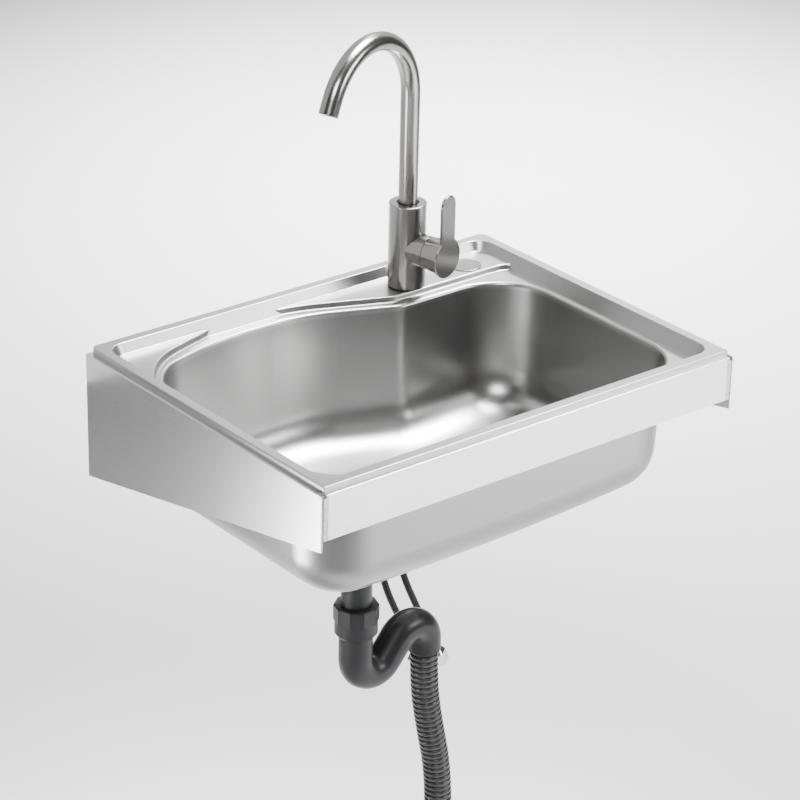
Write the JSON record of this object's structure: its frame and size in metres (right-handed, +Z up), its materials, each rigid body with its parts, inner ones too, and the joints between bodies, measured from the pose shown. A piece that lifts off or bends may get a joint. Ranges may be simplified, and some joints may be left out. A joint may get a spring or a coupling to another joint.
{
  "type": "wall-mounted kitchen sink with mixer tap",
  "caption": "Wall-hung stainless kitchen sink in a folded sheet bracket, with a swivelling gooseneck mixer tap, a lift-out strainer, an S trap, a ribbed waste hose and supply tails.",
  "frame": {"origin": "centre of the bracket's four wall-bolt holes, on the wall face", "axes": "+X right along the wall seen from the front, +Y into the wall, +Z up"},
  "size_m": [0.611, 0.455, 1.2061],
  "materials": {
    "sink_steel": "satin brushed",
    "bracket_steel": "brushed",
    "strainer_steel": "polished",
    "tap_steel": "fine brushed",
    "zinc_steel": "zinc plated",
    "plated_brass": "nickel plated",
    "grey_plastic": "moulded",
    "hose_plastic": "moulded",
    "braided_hose": "smooth sleeve",
    "seal_rubber": "moulded",
    "bush_plastic": "moulded",
    "cartridge_plastic": "moulded"
  },
  "bodies": {
    "sink": {"basin": "sink_steel", "bracket_side_left": "bracket_steel", "bracket_side_right": "bracket_steel", "bracket_apron": "bracket_steel", "bracket_rail": "bracket_steel", "strainer_body": "strainer_steel", "tap_body": "tap_steel", "hole_cap": "tap_steel", "clamp_washer": "zinc_steel", "fixing_nut": "zinc_steel", "cartridge_nut": "zinc_steel", "hose_nipples": "plated_brass", "cold_ferrule": "plated_brass", "hot_ferrule": "plated_brass", "cold_union_nut": "plated_brass", "hot_union_nut": "plated_brass", "tap_shank": "plated_brass", "lock_nut": "grey_plastic", "tail_pipe": "grey_plastic", "coupling_nut": "grey_plastic", "slip_nut": "grey_plastic", "trap_body": "grey_plastic", "cap_nut": "grey_plastic", "waste_hose": "hose_plastic", "cold_hose": "braided_hose", "hot_hose": "braided_hose", "strainer_seal": "seal_rubber", "under_gasket": "seal_rubber", "slip_seal": "seal_rubber", "floor_seal": "seal_rubber", "tap_gasket": "seal_rubber", "deck_washer": "seal_rubber", "spout_bush": "bush_plastic", "cartridge": "cartridge_plastic"},
    "swivel": {"spout": "tap_steel", "spout_rings": "seal_rubber", "aerator_housing": "tap_steel", "aerator_insert": "bush_plastic"},
    "mixer": {"mixer_rotor": "cartridge_plastic", "stem_pin": "zinc_steel"},
    "handle": {"lever": "tap_steel", "lever_stem": "zinc_steel", "set_screw": "zinc_steel"},
    "basket": {"strainer_basket": "strainer_steel", "basket_stopper": "seal_rubber"}
  },
  "joints": [
    {"name": "spout_swivel", "type": "hinge", "parent": "sink", "child": "swivel", "pos_m": [0.1333, -0.0523, 0.186], "axis": [0, 0, 1], "range_deg": [-25, 140]},
    {"name": "mixer_turn", "type": "hinge", "parent": "sink", "child": "mixer", "pos_m": [0.14467, -0.0979, 0.1275], "axis": [0.2419, -0.9703, 0], "range_deg": [-45, 45]},
    {"name": "lever_lift", "type": "hinge", "parent": "mixer", "child": "handle", "pos_m": [0.14467, -0.0979, 0.1275], "axis": [0.9703, 0.2419, 0], "range_deg": [0, 20]},
    {"name": "basket_lift", "type": "slide", "parent": "sink", "child": "basket", "axis": [0, 0, 1], "range_m": [0, 0.2]}
  ]
}
